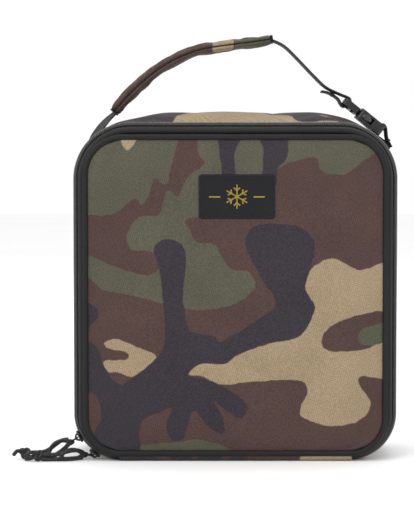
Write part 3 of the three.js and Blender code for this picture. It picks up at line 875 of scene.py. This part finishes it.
def add_lid_lining():
    lining, held = pad_panel("lid_lining", grown(BODY, -2.5), 6, -37.9, LID_FOAM_BACK, 0.6, side=1)
    inflate(lining, held, 3, 0.8)
    subdivide(lining)
    finish_piece(lining, "lining", "lid", ["lid_liner", "lid_foam"])

    def binding(p):
        return [(-4.6, -38.4), (-4.4, -37.3), (-2.9, -37.1), (-2.0, -37.6), (-1.9, -38.6), (-3, -39)]
    band = ring_piece("lid_binding", outline(BODY, 3), binding, True)
    finish_piece(band, "trim", "lid")


def gusset_crown(p):
    """How far the gusset's middle stands proud at a place: most along the top, none underneath."""
    if p.nz < -0.3:
        return 0.0
    share = min(1, max(0, ((90 if p.x < 0 else 98) - abs(p.x)) / 44))
    top = 6.4 * share * share * (3 - 2 * share) if p.nz > 0.5 else 0
    return 1.1 + top


def gusset_section(p):
    crown, steps = gusset_crown(p), 18
    points = []
    for k in range(steps + 1):
        t = k / steps
        arch = math.sin(math.pi * t) ** 0.55
        fold = noise.noise(Vector((p.mark / 38, t * 2.2, 3))) * 0.9 * arch * (0 if p.nz < -0.3 else 1)
        y = GUSSET_FRONT + t * (GUSSET_BACK - GUSSET_FRONT)
        points.append((crown * arch + fold - 0.5 * (1 - arch), y))
    points += [(-1.4, 41.5), (-3.4, 41.9), (-6.6, 41.9), (-7.3, 41)]
    points += [(-7.4, y) for y in (30, 20, 10, 0, -10, -20, -29.8)]
    return points + [(-4, -30.9), (-1.8, -31)]


def gusset_reach(x, z):
    """Distance round the body from the middle of its top, positive on the right."""
    half, low, high = BODY["half"], BODY["low_radius"], BODY["high_radius"]
    across, side = abs(x), math.copysign(1, x)
    arc_x, arc_z = half - high, BODY["top"] - high
    corner, wall = high * math.pi / 2, arc_z - low
    if z > BODY["top"] / 2 and across <= arc_x:
        return side * across
    if z > arc_z:
        return side * (arc_x + high * math.atan2(across - arc_x, z - arc_z))
    if z >= low:
        return side * (arc_x + corner + arc_z - z)
    below = arc_x + corner + wall
    if across > half - low:
        return side * (below + low * math.atan2(low - z, across - half + low))
    return side * (below + low * math.pi / 2 + half - low - across)


def add_gusset():
    gusset = ring_piece("gusset_shell", outline(BODY, 5), gusset_section, True)
    width = len(gusset_section(outline(BODY, 5)[0]))
    held = [i for i, v in enumerate(gusset.data.vertices)
            if not 0 < i % width < 18 or v.co.z < 6 * MM]
    inflate(gusset, held, 3, 1.6)
    subdivide(gusset)
    drop = 285

    def sides(x, y, z):
        reach = gusset_reach(x, z)
        return math.copysign(1, reach) * y * 0.9 + 12, abs(drop - abs(reach))
    print_camo(gusset, (FRONT_PRINT, sides), (TOP_PRINT, lambda x, y, z: (gusset_reach(x, z), y)))
    finish_piece(gusset, "camo_fabric", "bag", ["gusset_fabric", "gusset_foam", "bottom_panel"])
    tape = [(-1, -34.9), (-0.5, -33.8), (-0.3, -32.4), (-0.5, -30.8), (-1.6, -30.2), (-2.8, -31),
            (-2.7, -34.7)]
    fold = ring_piece("body_zip_tape_fold", outline(BODY, 3, SEAM_X), lambda p: tape, False)
    finish_piece(fold, "zip_tape", "bag", ["body_zip_tape"])


def add_liner():
    def wall(p):
        crease = 0.5 * noise.noise(Vector((p.mark / 17, 0, 5)))
        return [(-2.4, -35.3), (-2.5, -36.2), (-5.2, -36.6), (-8.3, -36.4), (-8.9, -35.4), (-9 + crease, -22),
                (-9 - crease, 0), (-9 + crease, 18), (-9, 32), (-8.4, 33.4), (-7.7, 33), (-7.7, -34.6)]
    tub = ring_piece("liner_wall", outline(BODY, 4), wall, True)
    subdivide(tub)
    finish_piece(tub, "lining", "bag", ["liner_tub"])
    back, held = pad_panel("liner_back", grown(BODY, -8.2), 6, 32.8, 33.6, 0.6)
    inflate(back, held, 3, 1.2)
    subdivide(back)
    finish_piece(back, "lining", "bag", ["back_foam"])


def bar_x(name, half, section, step=4.0):
    """Sweeps a closed (y, z) section from -half to half along X; section(x) lists its points."""
    count = round(2 * half / step)
    rows = [[(x, y, z) for y, z in section(x)] for x in np.linspace(-half, half, count + 1)]
    return loft(name, rows)


def add_hinge_cover():
    """The printed strip that the lid turns on. It reaches from the lid at its front to the bag behind."""
    strip = [(-43.9, 5.4), (-45.1, 4), (-45.3, 2.4), (-44.7, 1.1), (-43.2, 0.3), (-41, 0.12), (-36, 0.1),
             (-30.8, 0.1), (-30.8, 1), (-36, 1), (-41, 1.1), (-42.9, 1.5), (-43.7, 2.6), (-43.2, 4.2),
             (-42.9, 5.2)]
    cover = bar_x("hinge_cover", SEAM_X + 3, lambda x: strip, 2)
    subdivide(cover)
    print_camo(cover, (FRONT_PRINT, lambda x, y, z: (x, 38 - z + (y + 44) * 0.8)))
    finish_piece(cover, "camo_fabric", None, ["hinge_strip"])
    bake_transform(cover)


def add_back():
    upper = {"half": BACK_HALF, "bottom": 139.4, "top": 233, "low_radius": 1.5, "high_radius": 26}
    pocket = {"half": BACK_HALF, "bottom": 7, "top": 130.6, "low_radius": 24, "high_radius": 1.5}
    for name, shape, node, shift in (("back_upper_pad", upper, "back_upper_panel", 30),
                                     ("back_pocket_pad", pocket, "back_pocket_panel", 0)):
        pad, held = pad_panel(name, shape, 4, BACK_FACE, BACK_FACE - 1, 0.7, side=1)
        inflate(pad, held, 3, 1.2)
        subdivide(pad)
        print_camo(pad, (FRONT_PRINT, lambda x, y, z, s=shift: (10 - x, z - s)))
        finish_piece(pad, "camo_fabric", "bag", [node])
    for name, low, high, node in (("back_tape_upper", 136, 140.6, "back_zip_tape_upper"),
                                  ("back_tape_lower", 129.4, 134, "back_zip_tape_lower")):
        tape = [(41.2, low), (42, low), (42.5, (low + high) / 2), (42, high), (41.2, high)]
        finish_piece(bar_x(name, BACK_HALF, lambda x, t=tape: t), "zip_tape", "bag", [node])

    def teeth(x):
        radius = 0.9 + 0.25 * math.cos(2 * math.pi * x / COIL_PITCH)
        return [(BACK_FACE + 0.1 + radius * math.sin(t) * 0.7, BACK_ZIP_Z + radius * math.cos(t))
                for t in full_turn(COIL_SIDES)]
    coil = bar_x("back_coil_teeth", BACK_HALF, teeth, COIL_PITCH / 4)
    rings = round(2 * BACK_HALF / (COIL_PITCH / 4)) + 1
    share_teeth(coil, [x / COIL_PITCH for x in np.linspace(-BACK_HALF, BACK_HALF, rings)])
    finish_piece(coil, "zip_teeth", "bag", ["back_zip_coil"])
    softened("back_slider", "slider_metal", "pocket_slider", 0.3)
    softened("back_pull_tab", "pull_tab", "pocket_tab", 0.35)


# ---- the label ----

LABEL_CENTRE = (1, 191.5)
LABEL_SIZE = (55, 32)


def face_y(panel, x, z):
    """Where the panel's face is, in millimetres, at a place on the front."""
    found, place, _, _ = panel.ray_cast(Vector((x * MM, -0.2, z * MM)), Vector((0, 1, 0)))
    return place.y / MM if found else PANEL_FRONT


def stitch_run(name, line, pitch, length, radius, drape):
    """A row of short raised stitches along a line of (x, z) points; drape(x, z) gives the cloth's y."""
    even, marks = along(np.array(line, float), pitch)
    points, faces = [], []
    for k in range(len(even) - 1):
        middle = (even[k] + even[k + 1]) / 2
        heading = (even[k + 1] - even[k]) / np.linalg.norm(even[k + 1] - even[k])
        side = np.array([-heading[1], heading[0]])
        first = len(points)
        y = drape(*middle)
        for reach, size in ((-0.5, 0.35), (-0.28, 1), (0.28, 1), (0.5, 0.35)):
            for turn in range(6):
                angle = math.pi * turn / 3
                spot = middle + heading * reach * length + side * math.cos(angle) * radius * size
                points.append((spot[0], y - 0.1 - math.sin(angle) * radius * size * 0.8, spot[1]))
        faces += shifted(grid_faces(4, 6) + [range(6), range(18, 24)], first)
    return new_piece(name, points, faces)


def rounded_line(cx, cz, width, height, radius):
    """A rounded rectangle's closed line of (x, z) points."""
    line = []
    for sx, sz, start in ((1, -1, -90), (1, 1, 0), (-1, 1, 90), (-1, -1, 180)):
        for k in range(5):
            angle = math.radians(start + 22.5 * k)
            line.append((cx + sx * (width / 2 - radius) + radius * math.cos(angle),
                         cz + sz * (height / 2 - radius) + radius * math.sin(angle)))
    return line + line[:1]


def add_label(panel):
    cx, cz = LABEL_CENTRE
    width, height = LABEL_SIZE
    shape = {"half": width / 2, "bottom": -height / 2, "top": height / 2, "low_radius": 2, "high_radius": 2}
    grid = panel_rows(shape, 1.25)
    front, back = [], []
    for row in grid:
        for x, z in row:
            edge = min(width / 2 - abs(x), height / 2 - abs(z))
            rim = 0.35 * math.exp(-((edge - 1.6) / 0.9) ** 2)
            y = face_y(panel, x + cx, z + cz)
            front.append((x + cx, y - 0.55 - rim + (0.3 if edge < 0.4 else 0), z + cz))
            back.append((x + cx, y + 0.25, z + cz))
    patch = new_piece("label_cloth", front + back, sheet_faces(len(grid), len(grid[0])))
    finish_piece(patch, "label", "lid", ["label_patch"])

    def on_label(x, z):
        return face_y(panel, x, z) - 0.6
    border_line = rounded_line(cx, cz, width - 5.6, height - 5.6, 1.5)
    run = stitch_run("label_border_stitches", border_line, 1.5, 1.25, 0.22, on_label)
    finish_piece(run, "label", "lid", finish="dark_thread")
    edge_line = rounded_line(cx, cz, width - 1.6, height - 1.6, 1.5)
    run = stitch_run("label_edge_stitches", edge_line, 0.8, 1.0, 0.3, on_label)
    finish_piece(run, "label", "lid", finish="dark_thread")
    add_snowflake(cx, cz, on_label)


def add_snowflake(cx, cz, drape):
    """The embroidered sign: a plain six-armed snowflake between two bars."""
    strokes = []
    reach, twig = 8.6, 3.0
    for k in range(6):
        angle = math.radians(60 * k + 90)
        arm = np.array([math.cos(angle), math.sin(angle)])
        strokes.append([(cx, cz), (cx + arm[0] * reach, cz + arm[1] * reach)])
        for lean in (-50, 50):
            turn = angle + math.radians(lean)
            bough = np.array([math.cos(turn), math.sin(turn)])
            base = np.array([cx, cz]) + arm * reach * 0.52
            strokes.append([tuple(base), tuple(base + bough * twig)])
    for side in (-1, 1):
        strokes.append([(cx + side * 12, cz - 0.2), (cx + side * 20, cz - 0.2)])
    for number, stroke in enumerate(strokes):
        run = stitch_run(f"embroidery_{number}", stroke, 0.42, 0.6, 0.55, drape)
        finish_piece(run, "label", "lid", finish="thread")


# ---- carrying strap and buckle ----

BUCKLE_START = (80.5, 261.5)
BUCKLE_SLOPE = math.radians(39)

LEFT_STRAP = [(-104.4, 231.6), (-102.8, 235.6), (-98.4, 242.6), (-93.4, 248.2), (-89.6, 251.6),
              (-85.6, 255.6)]
SLEEVE = [(-89, 253.2), (-76, 267.6), (-59, 282.3), (-42, 292.6), (-24, 299), (-5, 302), (14, 304.4),
          (27.2, 306.6)]


def on_buckle(along_x, normal):
    """A place in the buckle's own length and height, as (x, z)."""
    cos, sin = math.cos(BUCKLE_SLOPE), math.sin(BUCKLE_SLOPE)
    x, z = BUCKLE_START
    return (x + along_x * cos + normal * sin, z - along_x * sin + normal * cos)


RIGHT_STRAP = [(23.5, 305.4), (27.4, 305.7), (36.4, 301.4), (46, 292.3), (57.6, 280.2), (67, 271.4)] + [
    on_buckle(*place) for place in (
        (-5, 1.9), (-0.6, 3.3), (2.4, 3.7), (4.4, 2), (4.6, -1.2), (2.6, -3.6), (-0.6, -3.2), (-4, -1.9),
        (-9, -2), (-13.6, -3.2), (-17.2, -5.2))]
ANCHOR_LOOP = [on_buckle(*place) for place in (
    (48.4, -6.6), (44, -5), (39.5, -4.6), (36, -4.8), (33, -4.4), (32, 0), (33, 4.4), (36, 4.3), (39, 1.6),
    (42.5, -1.6), (48.8, -4.6))]


def side_frames(points, step):
    """Even places on an (x, z) curve, each with its normal and its distance."""
    even, marks = along(smooth_curve(points, steps=8), step)
    heading = np.gradient(even, axis=0)
    heading /= np.linalg.norm(heading, axis=1, keepdims=True)
    normals = np.stack([-heading[:, 1], heading[:, 0]], 1)
    return even, normals, marks


def webbing(name, points, step=1.0, twist=(0, 0)):
    """A woven band edge-on to the front: flat, with a thicker selvedge and fine ribs along it.

    The twist gives how many degrees its front edge is turned down at its start and its end.
    """
    columns = 26
    rows = []
    even, normals, marks = side_frames(points, step)
    for place, normal, mark in zip(even, normals, marks):
        ring = []
        share = mark / marks[-1]
        turn = math.radians(twist[0] + (twist[1] - twist[0]) * share)
        for face in (1, -1):
            for k in range(columns + 1):
                t = (2 * k / columns - 1) * face
                edge = math.sqrt(max(0, 1 - abs(t) ** 14))
                rib = 0.07 * math.cos(k * math.pi)
                pick = 0.05 * math.sin(mark * math.pi)
                high = (STRAP_THICK / 2 * (0.86 + 0.16 * t ** 6) + rib + pick) * edge * face
                wide = t * STRAP_WIDTH / 2
                across = wide * math.cos(turn) - high * math.sin(turn)
                rise = high * math.cos(turn) + wide * math.sin(turn)
                ring.append((place[0] + normal[0] * rise, across, place[1] + normal[1] * rise))
        rows.append(ring)
    return loft(name, rows)


def bar_tack(name, centre, normal, heading, body):
    """A dense block of zigzag stitches through two layers of webbing, on both of its faces."""
    points, faces = [], []
    for face in (-1, 1):
        for k in range(24):
            y = -8.5 + 17 * k / 23
            first = len(points)
            for reach in (-1.6, 1.6):
                lean = 0.35 * (1 if k % 2 else -1)
                for turn in range(6):
                    angle = math.pi * turn / 3
                    high = face * (STRAP_THICK / 2 + 0.12) + 0.24 * math.sin(angle)
                    x = centre[0] + heading[0] * reach + normal[0] * high
                    z = centre[1] + heading[1] * reach + normal[1] * high
                    points.append((x, y + lean * np.sign(reach) + 0.24 * math.cos(angle), z))
            faces += shifted(grid_faces(2, 6) + [range(6), range(6, 12)], first)
    piece = new_piece(name, points, faces)
    return finish_piece(piece, "webbing", body, finish="dark_thread")


def sleeve_section(place, normal, mark, length):
    """The padded sleeve's cross-section: a pillow with its seam sunk along each edge."""
    share = mark / length
    half_high = (4.7 - 1.3 * share) * (1 - 0.22 * math.exp(-mark / 9))
    pinch = 1 - 0.12 * math.exp(-(min(mark, length - mark) / 3) ** 2)
    ring = []
    for k in range(32):
        angle = 2 * math.pi * k / 32
        c, s = math.cos(angle), math.sin(angle)
        across = 12.2 * math.copysign(abs(c) ** 0.45, c)
        high = half_high * math.copysign(abs(s) ** 0.62, s) * pinch
        seam = 1.5 * math.exp(-(high / 0.8) ** 2)
        across -= math.copysign(seam, c) if abs(across) > 9 else 0
        ripple = noise.noise(Vector((mark / 7, angle * 1.1, 9))) * 0.35
        fade = math.exp(-((abs(high) - 1.8) / 1.2) ** 2)
        puckers = 0.3 * math.sin(mark * 1.05) * fade * (abs(across) > 8)
        grow = 1 + (ripple + (puckers if s < 0 else 0.4 * puckers)) / 6
        x, z = place[0] + normal[0] * high * grow, place[1] + normal[1] * high * grow
        ring.append((x, across * (1 + ripple / 20), z))
    return ring


def add_sleeve():
    even, normals, marks = side_frames(SLEEVE, 2.6)
    rows = [sleeve_section(p, n, m, marks[-1]) for p, n, m in zip(even, normals, marks)]
    sleeve = loft("handle_sleeve_pad", rows)
    width = len(rows[0])
    seams = {0, 1, 15, 16, 17, 31}
    last = len(rows) - 1
    held = [i for i in range(len(sleeve.data.vertices)) if i % width in seams or i // width in (0, last)]
    inflate(sleeve, held, 3, 0.8, spare=0.02)
    subdivide(sleeve)
    print_camo(sleeve, (SLEEVE_PRINT, lambda x, y, z: (x, y)))
    finish_piece(sleeve, "camo_fabric", "handle", ["handle_sleeve", "handle_core_webbing", "handle_padding"])
    # The dark cords sit in the groove along each edge of the sleeve: a seam, and painted shade of that
    # groove.
    for side in (-1, 1):
        seam = tube(f"sleeve_seam_and_shade_{side + 1}", [(p[0], side * 11.3, p[1]) for p in even], 0.5, 8, step=1.3)
        finish_piece(seam, "camo_fabric", "handle", finish="seam_and_groove_shade")
    for number, end in enumerate((0, last)):
        place, normal = even[end], normals[end]
        heading = (even[min(end + 1, last)] - even[max(end - 1, 0)])
        heading = heading / np.linalg.norm(heading)
        hem = []
        for reach in (-0.7, 0.7):
            centre = place + heading * reach
            ring = sleeve_section(centre, normal, marks[end], marks[-1])
            middle = np.array([centre[0], 0, centre[1]])
            hem.append([tuple(middle + (np.array(p) - middle) * 1.02) for p in ring])
        band = loft(f"sleeve_hem_{number}", hem)
        finish_piece(band, "camo_fabric", "handle", finish="zip_tape")


def add_strap():
    add_sleeve()
    left = webbing("left_webbing", LEFT_STRAP, twist=(24, 6))
    finish_piece(left, "webbing", None, ["strap_left_webbing"])
    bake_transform(left)
    right = webbing("right_webbing", RIGHT_STRAP)
    finish_piece(right, "webbing", None, ["strap_right_webbing"])
    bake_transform(right)
    loop = webbing("anchor_webbing", ANCHOR_LOOP)
    finish_piece(loop, "webbing", "bag", ["anchor_loop"])
    slope = np.array([math.cos(BUCKLE_SLOPE), -math.sin(BUCKLE_SLOPE)])
    normal = np.array([math.sin(BUCKLE_SLOPE), math.cos(BUCKLE_SLOPE)])
    bar_tack("anchor_tack", on_buckle(43.5, -2.2), normal, slope, "bag")
    bar_tack("tail_tack", on_buckle(-10, -1.9), normal, slope, "bag")


def buckle_dome(name, along_x, side, body, node_side):
    """The oval thumb pad on the outside of a springy arm."""
    rows = []
    for k in range(7):
        t = k / 6
        size = math.cos(t * math.pi / 2) ** 0.6 if k < 6 else 0.05
        y = side * (node_side + 0.2 + 1.5 * math.sin(t * math.pi / 2))
        ring = []
        for turn in range(24):
            angle = 2 * math.pi * turn / 24
            x, z = on_buckle(along_x + 4.3 * size * math.cos(angle), 3.1 * size * math.sin(angle))
            ring.append((x, y, z))
        rows.append(ring)
    dome = loft(name, rows)
    # The pad's paler grey material is a painted highlight.
    return finish_piece(dome, "buckle", body, finish="button")


def add_buckle():
    softened("buckle_socket", "buckle", "bag", 0.5)
    softened("buckle_plug", "buckle", "bag", 0.4)
    softened("buckle_arm_front", "buckle", "arm_front", 0.3)
    softened("buckle_arm_back", "buckle", "arm_back", 0.3)
    for side, body in ((-1, "arm_front"), (1, "arm_back")):
        buckle_dome(f"release_pad_{body}", 21, side, body, 12.2)
    for number, reach in enumerate((16.6, 28.5)):
        ridge = []
        for k in range(25):
            t = math.pi * 2 * k / 24
            x, z = on_buckle(reach, 4.05 * math.copysign(abs(math.sin(t)) ** 0.5, math.sin(t)))
            ridge.append((x, 13.2 * math.copysign(abs(math.cos(t)) ** 0.3, math.cos(t)), z))
        rib = tube(f"socket_rib_{number}", ridge, 0.35, 8, closed=True, step=1)
        finish_piece(rib, "buckle", "bag")


def add_zip_hardware():
    for number in (1, 2):
        softened(f"zip_slider_{number}", "slider_metal", f"slider_{number}", 0.3)
    for side in ("left", "right"):
        softened(f"zip_stop_{side}", "zip_teeth", "bag", 0.25)


# ---- everything, the camera and the cords first ----

add_camera()
MATERIALS = all_materials()
add_pulls()
add_stage()
front_panel = add_front_panel()
add_label(front_panel)
add_piping("front_piping", -44.4, "lid", "lid_piping")
add_lid_edge()
add_coil("lid_coil_teeth", -38.2, 0.0, "lid", "lid_zip_coil")
add_lid_lining()
add_gusset()
add_coil("body_coil_teeth", -36, 0.5, "bag", "body_zip_coil")
add_liner()
add_hinge_cover()
add_back()
add_piping("back_piping_roll", 42.3, "bag", "back_piping")
add_strap()
add_buckle()
add_zip_hardware()
